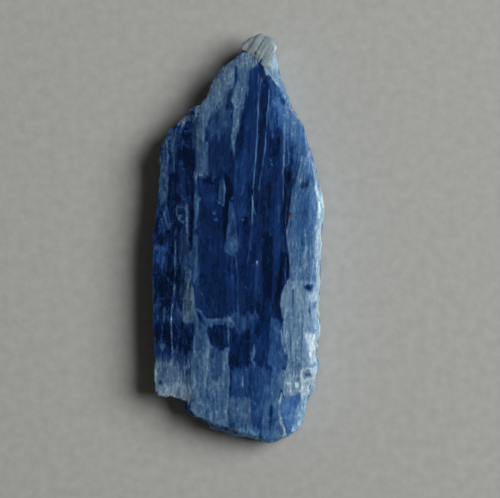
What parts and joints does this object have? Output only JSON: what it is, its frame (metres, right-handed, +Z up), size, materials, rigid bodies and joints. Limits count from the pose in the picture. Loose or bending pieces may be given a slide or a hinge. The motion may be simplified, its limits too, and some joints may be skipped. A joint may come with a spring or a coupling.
{
  "type": "kyanite blade cluster",
  "caption": "Flat cleavage fragment of kyanite: blue blades grown together side by side, broken at both ends, with a grain of matrix at the tip.",
  "frame": {"origin": "middle of the bounding box's base, on the surface that the specimen rests on", "axes": "+Y along the blades to the tip with the matrix grain, +X across them, +Z up through the thickness"},
  "size_m": [0.019, 0.0452, 0.0044],
  "materials": {
    "kyanite": "vitreous to frosted, opaque at this thickness",
    "matrix_grain": "dull, rough"
  },
  "bodies": {
    "root": {"kyanite": "kyanite", "matrix_grain": "matrix_grain"}
  },
  "joints": []
}
